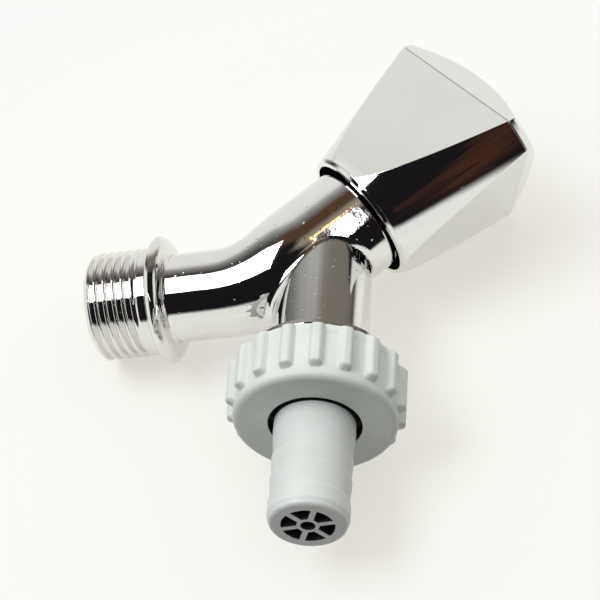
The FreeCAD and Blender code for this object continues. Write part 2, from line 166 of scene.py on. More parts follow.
# the room that the chrome shows: a pale sweep all round, a dark room behind the camera
room = {
    "pale": (0.955, 0.955, 0.945, 1.0),
    "wall": (0.93, 0.93, 0.905, 1.0),
    "brown": (0.20, 0.178, 0.15, 1.0),
    "dark": (0.010, 0.009, 0.011, 1.0),
    "umber": (0.105, 0.050, 0.024, 1.0),
    "rust": (0.062, 0.024, 0.015, 1.0),
    "tan": (0.34, 0.29, 0.23, 1.0),
    "skyLow": (0.025, 0.024, 0.023, 1.0),  # soft light on matt surfaces, from the near edge up to overhead
    "skyHigh": (0.92, 0.905, 0.87, 1.0),
    "skyEdge": (0.07, 0.068, 0.064, 1.0),  # the light that the table gives back, near its level and straight behind
    "skyBehind": (0.92, 0.91, 0.885, 1.0),
    "skyLean": (0.55, 0.83),  # shares of the table's normal and of the picture's upright in the sky's axis
    "skySpan": (-0.1, 0.9),
    "rearStart": (0.0, 0.06),
    "rearSpan": (0.4, 1.0),
    "ragged": 9.0,
    # brightness of the wall by degrees above the camera line
    "climb": ((48, 0.012), (53, 0.02), (58, 0.065), (70, 0.24), (77, 0.42), (85, 0.86), (97, 0.93)),
    "climbTint": (1.0, 0.99, 0.96),
    # left, right, low and high edge in degrees off the camera line, and how soft the edges are
    "patches": {
        "climb": (-118, 92, 50, 170, 8),
        "brown": (-8, 88, 60, 84, 14),
        "dark": (-62, 62, -44, 54, 5),
        "rust": (-4, 50, -44, 12, 6),
        "umber": (-32, -4, 44, 64, 6),
        "tan": (-7, 10, 30, 46, 6),
    },
    "streakSpan": (0.50, 0.68),
}


def makeWorld():
    world = bpy.data.worlds.new("room")
    world.use_nodes = True
    scene.world = world
    tree = world.node_tree
    tree.nodes.clear()
    looking = Wire.add(tree, "ShaderNodeTexCoord", None, None, out="Generated")

    def along(axis):
        settings = {"operation": "DOT_PRODUCT"}
        return Wire.add(tree, "ShaderNodeVectorMath", settings, {0: looking, 1: axis}, out="Value")

    def cloud(where, scale):
        return Wire.add(tree, "ShaderNodeTexNoise", None, {"Vector": where, "Scale": scale, "Detail": 3.0})

    ahead = along(back)
    turn = ahead.maths("ARCCOSINE", ahead) * math.degrees(1.0)
    reach = ahead.maths("SQRT", (1.0001 - ahead * ahead))
    stray = (cloud(looking, 5.0) - 0.5) * room["ragged"]
    across = along(right) / reach * turn + stray
    above = along(up) / reach * turn + stray * 0.5

    def span(value, low, high, soft):
        return ease(value, low - soft, low + soft) * (1.0 - ease(value, high - soft, high + soft))

    def patch(name):
        leftEdge, rightEdge, low, high, soft = room["patches"][name]
        return span(across, leftEdge, rightEdge, soft) * span(above, low, high, soft)

    low, high = room["climb"][0][0], room["climb"][-1][0]
    climb = Wire.add(tree, "ShaderNodeMapRange", None, {0: above, 1: low, 2: high, 3: 0.0, 4: 1.0})
    stops = [((place - low) / (high - low), (*(level * tint for tint in room["climbTint"]), 1.0))
             for place, level in room["climb"]]
    wall = Wire.add(tree, "ShaderNodeValToRGB", {"stops": stops}, {"Fac": climb})
    colour = mixColour(patch("climb"), room["wall"], wall)
    for name in ("brown", "dark"):
        colour = mixColour(patch(name), colour, room[name])
    drawn = {0: across * 0.20 + above * 0.11, 1: above * 0.02, 2: 0.0}  # long streaks that lean
    streaks = cloud(Wire.add(tree, "ShaderNodeCombineXYZ", None, drawn), 1.0)
    colour = mixColour(patch("rust") * ease(streaks, *room["streakSpan"]), colour, room["rust"])
    for name in ("umber", "tan"):
        colour = mixColour(patch(name), colour, room[name])
    seen, shiny, through = (rayKind(tree, kind) for kind in ("Camera", "Glossy", "Transmission"))
    overhead = Vector(table["normal"]) * room["skyLean"][0] + up * room["skyLean"][1]
    sky = mixColour(ease(along(overhead.normalized()), *room["skySpan"]), room["skyLow"], room["skyHigh"])
    rear = along(-Vector(table["normal"]))
    rearSky = mixColour(ease(rear, *room["rearSpan"]), room["skyEdge"], room["skyBehind"])
    sky = mixColour(ease(rear, *room["rearStart"]), sky, rearSky)
    light = mixColour(shiny, sky, colour)
    light = mixColour(seen.maths("MAXIMUM", seen, through), light, room["pale"])
    glow = Wire.add(tree, "ShaderNodeBackground", None, {"Color": light, "Strength": 1.0})
    Wire.add(tree, "ShaderNodeOutputWorld", None, {"Surface": glow})


# lamps: a window up to the left of the camera, and small ones; sizes are along the handle's axis, then across
lamps = {
    "window": {
        "aim": (-38, 31), "away": 1.20, "size": (0.48, 0.84),
        "watts": 6.4, "colour": (0.985, 0.99, 1.0),
    },
    "leftBulb": {
        "aim": (14, 26), "away": 0.60, "slide": 6.4, "size": (0.0072, 0.24),
        "watts": 0.05, "colour": (1.0, 1.0, 1.0),
    },
    "rightBulb": {
        "aim": (23, 14), "away": 0.60, "slide": 8.0, "size": (0.0095, 0.26),
        "watts": 0.05, "colour": (1.0, 1.0, 1.0),
    },
    "amberBulb": {
        "aim": (3, 36), "away": 0.60, "slide": 22.0, "size": (0.022, 0.05),
        "watts": 0.006, "colour": (1.0, 0.55, 0.15),
    },
}
middle = Vector((0.030, 0.0, 0.0))
stemLine = Vector((0.766, 0.0, 0.643))


def makeLamps():
    for name, lamp in lamps.items():
        data = bpy.data.lights.new(name, "AREA")
        data.shape = "RECTANGLE" if name == "window" else "ELLIPSE"
        data.size, data.size_y = lamp["size"]
        data.energy = lamp["watts"]
        data.color = lamp["colour"]
        thing = bpy.data.objects.new(name, data)
        facing = aim(*lamp["aim"])
        side = stemLine - facing * stemLine.dot(facing)
        spin = Matrix((side.normalized(), facing.cross(side).normalized(), facing)).transposed().to_4x4()
        if name == "window":
            spin = facing.to_track_quat("Z", "Y").to_matrix().to_4x4()
        place = middle + facing * lamp["away"] + stemLine * lamp.get("slide", 0.0) * mm
        thing.matrix_world = Matrix.Translation(place) @ spin
        scene.collection.objects.link(thing)


def makeTable():
    normal = Vector(table["normal"]).normalized()
    half = table["half"]
    mesh = bpy.data.meshes.new("table")
    corners = [(-half, -half, 0), (half, -half, 0), (half, half, 0), (-half, half, 0)]
    mesh.from_pydata(corners, [], [(0, 1, 2, 3)])
    top = bpy.data.objects.new("table", mesh)
    spot = middle - normal * (normal.dot(middle) + table["drop"] * mm)
    top.matrix_world = Matrix.Translation(spot) @ normal.to_track_quat("Z", "Y").to_matrix().to_4x4()
    scene.collection.objects.link(top)
    material, tree = newMaterial("paleTable")
    place = Wire.add(tree, "ShaderNodeTexCoord", None, None, out="Object")
    away = Wire.add(tree, "ShaderNodeVectorMath", {"operation": "LENGTH"}, {0: place}, out="Value")
    behind = Wire.add(tree, "ShaderNodeNewGeometry", None, None, out="Backfacing")
    clear = behind.maths("MAXIMUM", behind, ease(away, *table["clearRadius"]))
    for kind in ("Diffuse", "Shadow"):  # so the object's back isn't left dark
        clear = clear.maths("MAXIMUM", clear, rayKind(tree, kind))
    seen, shiny, through = (rayKind(tree, kind) for kind in ("Camera", "Glossy", "Transmission"))
    direct = seen.maths("MAXIMUM", seen.maths("MAXIMUM", seen, through), shiny)
    plain = Wire.add(tree, "ShaderNodeBsdfDiffuse", None, {"Color": table["colour"]})
    glow = Wire.add(tree, "ShaderNodeEmission", None, {"Color": table["glow"], "Strength": 1.0})
    bright = Wire.add(tree, "ShaderNodeAddShader", None, {0: plain, 1: glow})
    matt = Wire.add(tree, "ShaderNodeMixShader", None, {0: direct, 1: plain, 2: bright})
    gone = Wire.add(tree, "ShaderNodeBsdfTransparent", None, None)
    surface(tree, Wire.add(tree, "ShaderNodeMixShader", None, {0: clear, 1: matt, 2: gone}))
    mesh.materials.append(material)


makeCamera()
makeWorld()
makeLamps()
makeTable()
print("camera, room, lamps and table set")


# finishes
def platedFinish(name, finish):
    material, tree = newMaterial(name)
    place = Wire.add(tree, "ShaderNodeTexCoord", None, None, out="Object")

    def cloud(scale, detail):
        sockets = {"Vector": place, "Scale": scale, "Detail": detail, "Roughness": 0.5}
        return Wire.add(tree, "ShaderNodeTexNoise", None, sockets)

    def spots(stretch, scale):
        drawn = Wire.add(tree, "ShaderNodeVectorMath", {"operation": "MULTIPLY"}, {0: place, 1: stretch})
        sockets = {"Vector": drawn, "Scale": scale}
        return Wire.add(tree, "ShaderNodeTexVoronoi", {"feature": "F1"}, sockets, out="Distance")

    smear = cloud(finish["smearScale"], 4.0)
    worn = ease(cloud(finish["wornScale"], 2.0), 0.46, 0.62)  # patches where the casting was left rough
    pits = (1.0 - ease(spots((1.0, 1.0, 1.0), finish["pitScale"]), 0.03, finish["pitSize"])) * worn
    scratches = (1.0 - ease(spots((0.09, 1.4, 0.12), 1000.0), 0.02, finish["scratchSize"])) * worn
    height = cloud(finish["waveScale"], 1.0) * finish["waveHeight"]
    height = height + cloud(finish["rippleScale"], 2.0) * finish["rippleHeight"] * (0.35 + worn)
    height = height - pits * finish["pitDepth"] - scratches * finish["scratchDepth"]
    bump = Wire.add(tree, "ShaderNodeBump", None, {"Strength": 1.0, "Distance": 1.0, "Height": height})
    rough = finish["rough"] + ease(smear, 0.45, 0.75) * finish["smear"] + pits * 0.2
    tint = mixColour(ease(smear, 0.3, 0.8), finish["light"], finish["deep"])
    shader = Wire.add(tree, "ShaderNodeBsdfPrincipled", None,
                      {"Base Color": tint, "Metallic": 1.0, "Roughness": rough, "Normal": bump})
    surface(tree, shader)
    return material


def mouldedFinish(name, finish):
    material, tree = newMaterial(name)
    place = Wire.add(tree, "ShaderNodeTexCoord", None, None, out="Object")
    cloud = Wire.add(tree, "ShaderNodeTexNoise", None,
                     {"Vector": place, "Scale": finish["cloudScale"], "Detail": 3.0, "Roughness": 0.55})
    grain = Wire.add(tree, "ShaderNodeTexNoise", None,
                     {"Vector": place, "Scale": finish["grainScale"], "Detail": 2.0, "Roughness": 0.5})
    tint = mixColour(ease(cloud, 0.35, 0.70), finish["light"], finish["deep"])
    rough = finish["rough"] + (cloud - 0.5) * finish["roughSpread"]
    height = grain * finish["grainHeight"]
    if "gate" in finish:  # pale scar where the moulding was broken off its feed
        gate = finish["gate"]
        offset = Wire.add(tree, "ShaderNodeVectorMath", {"operation": "SUBTRACT"}, {0: place, 1: gate["at"]})
        spun = Wire.add(tree, "ShaderNodeVectorRotate", {"rotation_type": "Z_AXIS"},
                        {"Vector": offset, "Angle": gate["turn"]})
        scaled = Wire.add(tree, "ShaderNodeVectorMath", {"operation": "MULTIPLY"}, {0: spun, 1: gate["stretch"]})
        far = Wire.add(tree, "ShaderNodeVectorMath", {"operation": "LENGTH"}, {0: scaled}, out="Value")
        scar = 1.0 - ease(far + (grain - 0.5) * 0.8, 0.7, 1.0)
        tint = mixColour(scar, tint, gate["colour"])
        height = height + scar * gate["height"]
    bump = Wire.add(tree, "ShaderNodeBump", None, {"Strength": 1.0, "Distance": 1.0, "Height": height})
    shader = Wire.add(tree, "ShaderNodeBsdfPrincipled", None,
                      {"Base Color": tint, "Roughness": rough, "Normal": bump, "IOR": finish["ior"],
                       "Metallic": finish["metallic"]})
    surface(tree, shader)
    return material


castChrome = {
    "light": (0.80, 0.795, 0.775, 1.0), "deep": (0.75, 0.745, 0.725, 1.0),
    "rough": 0.035, "smear": 0.04, "smearScale": 90.0, "wornScale": 75.0,
    "waveScale": 260.0, "waveHeight": 0.000010, "rippleScale": 1100.0, "rippleHeight": 0.0000035,
    "pitScale": 620.0, "pitSize": 0.16, "pitDepth": 0.00004, "scratchSize": 0.07, "scratchDepth": 0.00002,
}
handleChrome = {
    "light": (0.82, 0.825, 0.80, 1.0), "deep": (0.79, 0.80, 0.775, 1.0),
    "rough": 0.03, "smear": 0.03, "smearScale": 60.0, "wornScale": 50.0,
    "waveScale": 90.0, "waveHeight": 0.000008, "rippleScale": 700.0, "rippleHeight": 0.0000004,
    "pitScale": 260.0, "pitSize": 0.06, "pitDepth": 0.000006, "scratchSize": 0.04, "scratchDepth": 0.000002,
}
nutPlastic = {
    "light": (0.80, 0.848, 0.815, 1.0), "deep": (0.76, 0.812, 0.78, 1.0),
    "rough": 0.42, "roughSpread": 0.15, "cloudScale": 140.0, "grainScale": 2600.0, "grainHeight": 0.000004,
    "ior": 1.5, "metallic": 0.0,
}
tailPlastic = {
    "light": (0.79, 0.825, 0.81, 1.0), "deep": (0.75, 0.79, 0.77, 1.0),
    "rough": 0.40, "roughSpread": 0.15, "cloudScale": 120.0, "grainScale": 2400.0, "grainHeight": 0.000004,
    "ior": 1.5, "metallic": 0.0,
}
gateScar = {
    "at": (0.03559, -0.00534, -0.0553), "turn": math.radians(62.8), "stretch": (1100.0, 4200.0, 1500.0),
    "colour": (0.93, 0.94, 0.92, 1.0), "height": 0.00015,
}
# painted shade: a near-black finish for the tail's bore, the tail's neck up in the nut and the nut's hole wall,
# standing in for the shade deep in them
paintedBoreShade = dict(tailPlastic, light=(0.030, 0.031, 0.030, 1.0), deep=(0.020, 0.021, 0.020, 1.0), rough=0.6)
checkPlastic = dict(tailPlastic, light=(0.80, 0.80, 0.77, 1.0), deep=(0.74, 0.74, 0.71, 1.0))
thrustPlastic = dict(tailPlastic, light=(0.86, 0.86, 0.84, 1.0), deep=(0.80, 0.80, 0.78, 1.0))
sealRubber = dict(nutPlastic, light=(0.030, 0.030, 0.031, 1.0), deep=(0.018, 0.018, 0.019, 1.0), rough=0.62)
redFibre = dict(nutPlastic, light=(0.40, 0.10, 0.07, 1.0), deep=(0.28, 0.06, 0.045, 1.0), rough=0.75)
turnedBrass = dict(nutPlastic, light=(0.78, 0.60, 0.30, 1.0), deep=(0.66, 0.48, 0.22, 1.0), rough=0.28, metallic=1.0)
springSteel = dict(nutPlastic, light=(0.62, 0.62, 0.61, 1.0), deep=(0.52, 0.52, 0.52, 1.0), rough=0.30, metallic=1.0)

plated = {"castChrome": castChrome, "handleChrome": handleChrome}
moulded = {
    "nutPlastic": nutPlastic, "tailPlastic": dict(tailPlastic, gate=gateScar), "paintedBoreShade": paintedBoreShade,
    "checkPlastic": checkPlastic, "thrustPlastic": thrustPlastic, "sealRubber": sealRubber,
    "redFibre": redFibre, "turnedBrass": turnedBrass, "springSteel": springSteel,
}
finishes = {name: platedFinish(name, finish) for name, finish in plated.items()}
finishes.update({name: mouldedFinish(name, finish) for name, finish in moulded.items()})
dress = {
    "valve_body": "castChrome", "handle": "handleChrome", "handle_cap": "handleChrome",
    "union_nut": "nutPlastic", "hose_tail": "tailPlastic",
    "check_seat": "checkPlastic", "check_poppet": "checkPlastic", "thrust_washer": "thrustPlastic",
    "lower_o_ring": "sealRubber", "upper_o_ring": "sealRubber", "seat_washer": "sealRubber",
    "union_seal": "sealRubber", "check_seal": "sealRubber", "bonnet_gasket": "redFibre",
    "bonnet": "turnedBrass", "spindle": "turnedBrass", "jumper": "turnedBrass", "washer_nut": "turnedBrass",
    "spindle_clip": "springSteel", "handle_screw": "springSteel", "check_spring": "springSteel",
}
for nodeName, finishName in dress.items():
    slots = nodes[nodeName].data.materials
    slots.clear()
    slots.append(finishes[finishName])
print("finishes on", len(dress), "nodes")


onRing = 0.004  # how near a circle, in mm, a point counts as on it


# meshes: a new outside with soft edges, joined to the CAD node's own inside
class Skin:
    def __init__(self):
        self.points = np.empty((0, 3))
        self.faces = []
        self.normals = []  # one for each corner of each face, in the same order

    def addPoints(self, points):
        first = len(self.points)
        self.points = np.vstack((self.points, points.reshape(-1, 3)))
        return first + np.arange(len(points.reshape(-1, 3)))

    def addCad(self, name, keep):  # a node's triangles for which keep(middle points) is true
        mesh = nodes[name].data
        places = np.empty(3 * len(mesh.vertices))
        mesh.vertices.foreach_get("co", places)
        corners = np.empty(len(mesh.loops), int)
        mesh.loops.foreach_get("vertex_index", corners)
        bent = np.empty(3 * len(mesh.loops))
        mesh.corner_normals.foreach_get("vector", bent)
        welded, merged = np.unique(places.reshape(-1, 3).round(8), axis=0, return_inverse=True)
        welded /= mm
        triangles = merged.ravel()[corners].reshape(-1, 3)
        kept = keep(welded[triangles].mean(axis=1))
        used, again = np.unique(triangles[kept], return_inverse=True)
        ids = self.addPoints(welded[used])
        self.faces += ids[again.reshape(-1, 3)].tolist()
        self.normals += bent.reshape(-1, 3)[np.repeat(kept, 3)].tolist()

    def addGrid(self, rows):  # rows of points that close round; returns the first and last row
        levels, columns = rows.shape[:2]
        ids = self.addPoints(rows).reshape(levels, columns)
        along = np.gradient(rows, axis=0)
        around = np.roll(rows, -1, axis=1) - np.roll(rows, 1, axis=1)
        bent = unit(np.cross(around, along))
        for i in range(levels - 1):
            for j in range(columns):
                k = (j + 1) % columns
                self.faces.append((ids[i, j], ids[i, k], ids[i + 1, k], ids[i + 1, j]))
                self.normals += [bent[i, j], bent[i, k], bent[i + 1, k], bent[i + 1, j]]
        return (ids[0], bent[0]), (ids[-1], bent[-1])

    def ringOf(self, local, radius, level):  # points on a circle, in order round the axis
        flat = local(self.points)
        far = np.hypot(np.hypot(flat[:, 0], flat[:, 1]) - radius, flat[:, 2] - level)
        found = np.nonzero(far < onRing)[0]
        return found[np.argsort(np.arctan2(flat[found, 1], flat[found, 0]))]

    def zipRings(self, lower, upper, local):  # triangles between two rings: (ids, normals) each
        turns = []
        rings = []
        for ids, bent in (lower, upper):
            flat = local(self.points[ids])
            turn = np.arctan2(flat[:, 1], flat[:, 0])
            order = np.argsort(turn)
            turns.append(np.append(turn[order], turn[order][0] + 2 * math.pi))
            rings.append((np.append(ids[order], ids[order][0]), np.vstack((bent[order], bent[order][:1]))))
        (lowIds, lowBent), (highIds, highBent) = rings
        j = k = 0
        while j < len(lowIds) - 1 or k < len(highIds) - 1:
            nextLow = turns[0][j + 1] if j < len(lowIds) - 1 else math.inf
            nextHigh = turns[1][k + 1] if k < len(highIds) - 1 else math.inf
            if nextLow < nextHigh:
                self.faces.append((lowIds[j], lowIds[j + 1], highIds[k]))
                self.normals += [lowBent[j], lowBent[j + 1], highBent[k]]
                j += 1
            else:
                self.faces.append((lowIds[j], highIds[k + 1], highIds[k]))
                self.normals += [lowBent[j], highBent[k + 1], highBent[k]]
                k += 1

    def make(self, name, finish, node, body):
        mesh = bpy.data.meshes.new(name)
        faces = [tuple(int(corner) for corner in face) for face in self.faces]
        mesh.from_pydata((self.points * mm).tolist(), [], faces)
        mesh.polygons.foreach_set("use_smooth", [True] * len(mesh.polygons))
        mesh.normals_split_custom_set([tuple(bent) for bent in self.normals])
        mesh.materials.append(finishes[finish])
        piece = bpy.data.objects.new(name, mesh)
        scene.collection.objects.link(piece)
        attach(piece, body)
        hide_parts(node)
        print(name, "made:", len(mesh.polygons), "faces")
        return piece


def unit(vectors):
    return vectors / np.maximum(np.linalg.norm(vectors, axis=-1, keepdims=True), 1e-12)


def soften(points, cut, steps=5):  # rounds the corners of a line of points
    points = np.asarray(points, float)
    line = [points[0]]
    for before, corner, after in zip(points[:-2], points[1:-1], points[2:]):
        first = corner + (before - corner) * min(cut / np.linalg.norm(before - corner), 0.45)
        last = corner + (after - corner) * min(cut / np.linalg.norm(after - corner), 0.45)
        for share in np.linspace(0.0, 1.0, steps):
            line.append(first * (1 - share) ** 2 + corner * 2 * share * (1 - share) + last * share ** 2)
    return np.array(line + [points[-1]])


def fillIn(points, step):  # adds points where two are further apart than a step
    line = [points[0]]
    for start, end in zip(points[:-1], points[1:]):
        count = max(1, math.ceil(np.linalg.norm(end - start) / step))
        line += [start + (end - start) * k / count for k in range(1, count + 1)]
    return np.array(line)


def smooth(value, low, high):
    share = np.clip((value - low) / (high - low), 0.0, 1.0)
    return share * share * (3 - 2 * share)


class Axis:  # a line that pieces turn about, with its own x, y and level
    def __init__(self, start, along, across):
        self.start = np.array(start, float)
        third = np.cross(along, across)
        self.spin = np.array((across, third, along), float)

    def local(self, points):
        return (points - self.start) @ self.spin.T

    def polar(self, points):  # how far from the line, and how far along it
        flat = self.local(points)
        return np.hypot(flat[:, 0], flat[:, 1]), flat[:, 2]

    def world(self, points):
        return points @ self.spin + self.start

    def turned(self, line, turns, swell=None):  # a line of (radius, level) turned through every angle
        radius = line[:, :1] + (swell if swell is not None else 0.0) + 0.0 * turns
        level = line[:, 1:] + 0.0 * turns
        return self.world(np.stack((radius * np.cos(turns), radius * np.sin(turns), level), axis=-1))


inletAxis = Axis((0, 0, 0), (1, 0, 0), (0, 1, 0))
outletAxis = Axis((32.85, 0, 0), (0, 0, 1), (1, 0, 0))
tilt = math.radians(40.0)
handleAxis = Axis((32.85, 0, 9.72), (math.cos(tilt), 0, math.sin(tilt)), (math.sin(tilt), 0, -math.cos(tilt)))


def paintShade(piece, isShaded):  # a second finish, near-black painted shade, on the faces that the given test picks by radius and level
    piece.data.materials.append(finishes["paintedBoreShade"])
    for face in piece.data.polygons:
        x, y, level = outletAxis.local(np.array(face.center) / mm)
        if isShaded(math.hypot(x, y), level):
            face.material_index = 1


# male pipe threads: rounded grooves that start at the chamfer and run out before the foot
threads = {
    "inlet": {
        "axis": inletAxis, "end": -12.5, "foot": 0.0, "endR": 9.4775, "crestR": 10.4775, "chamfer": 1.0,
        "groove": -10.9, "grooveTurn": 219.5, "runOut": (-3.1, -1.5), "rows": 172,
    },
    "outlet": {
        "axis": outletAxis, "end": -26.65, "foot": -19.25, "endR": 12.42, "crestR": 13.22, "chamfer": 0.8,
        "groove": -25.4, "grooveTurn": 40.0, "runOut": (-21.4, -20.0), "rows": 104,
    },
}
ridge = {"pitch": 1.814, "depth": 1.08, "narrow": 1.5, "start": 0.45, "seam": 0.04, "columns": 144}


def cutThread(skin, form):
    axis = form["axis"]
    endRing = skin.ringOf(axis.local, form["endR"], form["end"])
    footRing = skin.ringOf(axis.local, form["crestR"], form["foot"])
    turns = np.linspace(-math.pi, math.pi, ridge["columns"] + 1)[:-1]
    levels = np.linspace(form["end"] + ridge["seam"], form["foot"] - ridge["seam"], form["rows"])
    slope = (form["crestR"] - form["endR"]) / form["chamfer"]
    crest = np.minimum(form["crestR"], form["endR"] + (levels - form["end"]) * slope)
    lead = (turns - math.radians(form["grooveTurn"])) / (2 * math.pi) * ridge["pitch"]
    phase = (levels[:, None] - form["groove"] - lead) / ridge["pitch"]
    groove = (0.5 + 0.5 * np.cos(2 * math.pi * phase)) ** ridge["narrow"]
    fade = smooth(levels, form["end"], form["end"] + ridge["start"]) * (1 - smooth(levels, *form["runOut"]))
    radius = np.minimum(form["crestR"] - ridge["depth"] * groove * fade[:, None], crest[:, None])
    line = np.stack((np.zeros(len(levels)), levels), axis=1)
    first, last = skin.addGrid(axis.turned(line, turns, radius))
    endBent = np.tile(-axis.spin[2], (len(endRing), 1))
    skin.zipRings((endRing, endBent), (first[0], np.tile(endBent[:1], (len(first[0]), 1))), axis.local)
    flat = axis.local(skin.points[footRing]) * (1, 1, 0)
    skin.zipRings(last, (footRing, unit(flat) @ axis.spin), axis.local)


def makeThreadedBody():
    skin = Skin()

    def keep(middles):
        kept = np.full(len(middles), True)
        for form in threads.values():
            radius, level = form["axis"].polar(middles)
            kept &= ~((level < form["foot"] - 0.01) & (radius > form["endR"] + 0.01))
        return kept

    skin.addCad("valve_body", keep)
    for form in threads.values():
        cutThread(skin, form)
    return skin.make("threaded_body", "castChrome", "valve_body", "body")


# three-sided handle: flats cut from a cone, a parting edge, then a strip that leans in under the dome
handleForm = {
    "rim": 7.77, "mouthR": 12.29, "rimR": 13.14, "lipR": 13.55, "lip": 0.85,
    "cornerLevel": 36.5, "cornerR": 21.8, "flat": 13.72, "flatLow": 13.07, "cornerTurn": -34.2,
    "top": 42.8, "domeR": 50.0, "draft": 15.0, "capR": 6.1,
    "crease": 0.40, "lipEdge": 0.12, "topEdge": 0.40, "groove": 0.24, "grooveHalf": 0.17,
}


def handleSection(cornerR, flat):  # the outline at one level: three flats and three round corners, softly joined
    form = handleForm
    crease = form["crease"]
    middle = flat - crease
    side = math.sqrt((cornerR - crease) ** 2 - middle ** 2)
    turn = math.atan2(side, middle)
    half = [(flat, side * share) for share in np.linspace(0.0, 1.0, 8)]
    half += [(middle + crease * math.cos(a), side + crease * math.sin(a)) for a in np.linspace(0.0, turn, 7)[1:]]
    half += [(cornerR * math.cos(a), cornerR * math.sin(a)) for a in np.linspace(turn, math.pi / 3, 9)[1:]]
    whole = np.array([(x, -y) for x, y in half[-2:0:-1]] + half)
    sections = []
    for k in range(3):
        turn = math.radians(form["cornerTurn"] + 60 + 120 * k)
        spin = np.array(((math.cos(turn), math.sin(turn)), (-math.sin(turn), math.cos(turn))))
        sections.append(whole @ spin)
    return np.vstack(sections)


def makeHandle():
    form = handleForm
    skin = Skin()
    lipTop = form["rim"] + form["lip"]
    high = form["cornerLevel"]

    def domeLevel(radius):
        return form["top"] - form["domeR"] + np.sqrt(form["domeR"] ** 2 - radius ** 2)

    def keep(middles):
        flat = handleAxis.local(middles)
        radius = np.hypot(flat[:, 0], flat[:, 1])
        ahead = np.radians(form["cornerTurn"] + 60 + 120 * np.arange(3))
        reach = np.max(flat[:, :1] * np.cos(ahead) + flat[:, 1:2] * np.sin(ahead), axis=1)
        level = flat[:, 2]
        share = np.minimum((level - lipTop) / (high - lipTop), 1.0)
        lean = np.maximum(level - high, 0.0) * math.tan(math.radians(form["draft"]))
        flatHere = form["flatLow"] + (form["flat"] - form["flatLow"]) * share - lean
        coneHere = form["lipR"] + (form["cornerR"] - form["lipR"]) * share - lean
        outside = (reach > flatHere - 0.4) | (radius > coneHere - 0.9)
        outside |= (level < form["rim"] + 0.01) | ((level > domeLevel(radius) - 0.9) & (radius > form["capR"] + 0.02))
        outside |= (level < lipTop + 0.05) & (radius > form["mouthR"] + 0.1)
        return ~outside

    skin.addCad("handle", keep)

    def below(level):
        share = (level - lipTop) / (high - lipTop)
        return handleSection(form["lipR"] + (form["cornerR"] - form["lipR"]) * share,
                             form["flatLow"] + (form["flat"] - form["flatLow"]) * share)

    def above(level):
        lean = (level - high) * math.tan(math.radians(form["draft"]))
        return handleSection(form["cornerR"] - lean, form["flat"] - lean)

    def at(flat, level):
        return np.column_stack((flat, np.broadcast_to(level, len(flat))))

    # rim and lip, round like the neck
    foot = below(lipTop)
    turns = np.arctan2(foot[:, 1], foot[:, 0])
    lip = soften([(form["rimR"] - 0.35, form["rim"]), (form["rimR"], form["rim"]), (form["lipR"], lipTop - 0.06),
                  (form["lipR"] - 0.06, lipTop)], form["lipEdge"])
    rows = [np.column_stack((r * np.cos(turns), r * np.sin(turns), np.full(len(turns), z))) for r, z in lip]
    # flats and corners up to the parting edge
    half = form["grooveHalf"]
    rows += [at(below(level), level) for level in np.linspace(lipTop + 0.08, high - half - 0.12, 16)]
    rows += [at(below(level), level) for level in (high - half - 0.05, high - half - 0.01)]
    inset = 1 - form["groove"] / form["flat"]  # fine groove where the two halves of the mould part
    rows += [at(below(high - half) * (1 - 0.003), high - half + 0.03), at(below(high) * inset, high - 0.4 * half),
             at(above(high) * inset, high + 0.4 * half), at(above(high + half) * (1 - 0.003), high + half - 0.03)]
    rows += [at(above(level), level) for level in (high + half + 0.01, high + half + 0.05)]
    end = at(above(high + half + 0.12), high + half + 0.12)
    rows.append(end)
    # the strip above it, up to where the dome meets each column
    levels = np.linspace(high, form["top"], 80)
    stack = np.array([above(level) for level in levels])
    over = levels[:, None] - domeLevel(np.hypot(stack[..., 0], stack[..., 1]))
    found = np.argmax(over > 0, axis=0)
    columns = np.arange(stack.shape[1])
    share = over[found - 1, columns] / (over[found - 1, columns] - over[found, columns])
    brow = stack[found - 1, columns] + (stack[found, columns] - stack[found - 1, columns]) * share[:, None]
    browLevel = domeLevel(np.hypot(brow[:, 0], brow[:, 1]))
    brow = at(brow, browLevel)
    cut = form["topEdge"]
    strip = brow - end
    last = brow - strip * (np.minimum(cut / np.linalg.norm(strip, axis=1), 0.45))[:, None]
    rows += [end + (last - end) * share for share in (0.33, 0.67, 1.0)]
    radius = np.hypot(brow[:, 0], brow[:, 1])

    def onDome(share):  # from the brow, 0, to the seat of the cap, 1
        scale = 1 + (form["capR"] + 0.2 - radius) / radius * share
        flat = brow[:, :2] * scale[:, None]
        return at(flat, domeLevel(np.hypot(flat[:, 0], flat[:, 1])))

    inner = onDome(cut / (radius - form["capR"]))
    for share in np.linspace(0.0, 1.0, 6)[1:]:
        rows.append(last * (1 - share) ** 2 + brow * 2 * share * (1 - share) + inner * share ** 2)
    rows += [onDome(share) for share in np.linspace(0.08, 1.0, 14)]
    first, final = skin.addGrid(handleAxis.world(np.array(rows)))

    mouth = skin.ringOf(handleAxis.local, form["mouthR"], form["rim"])
    down = np.tile(-handleAxis.spin[2], (len(mouth), 1))
    skin.zipRings((mouth, down), (first[0], np.tile(down[:1], (len(first[0]), 1))), handleAxis.local)
    seat = skin.ringOf(handleAxis.local, form["capR"], domeLevel(form["capR"]))
    flat = handleAxis.local(skin.points[seat]) - (0, 0, form["top"] - form["domeR"])
    skin.zipRings(final, (seat, unit(flat) @ handleAxis.spin), handleAxis.local)
    return skin.make("three_sided_handle", "handleChrome", "handle", "handle")


# union nut: round shell with soft grip ribs
nutForm = {
    "bottom": -33.65, "top": -21.8, "holeR": 8.66, "holeTop": -31.05, "outR": 15.2, "round": 1.3, "boreR": 13.42,
    "ribs": 18, "ribTurn": -76.0, "ribHeight": 1.46, "ribHalf": 1.27, "ribFoot": 2.2,
    "ribCorner": 1.0, "ribEdge": 0.9, "ribSpread": 1.04,
    "footSteep": 1.35, "rootReach": 0.30, "rootHeight": 0.10, "fall": 0.9, "bandDrop": 1.75, "band": 0.12,
    "holeEdge": 0.12, "dim": 0.3, "topEdge": 0.35, "step": 0.22, "columns": 30,
}


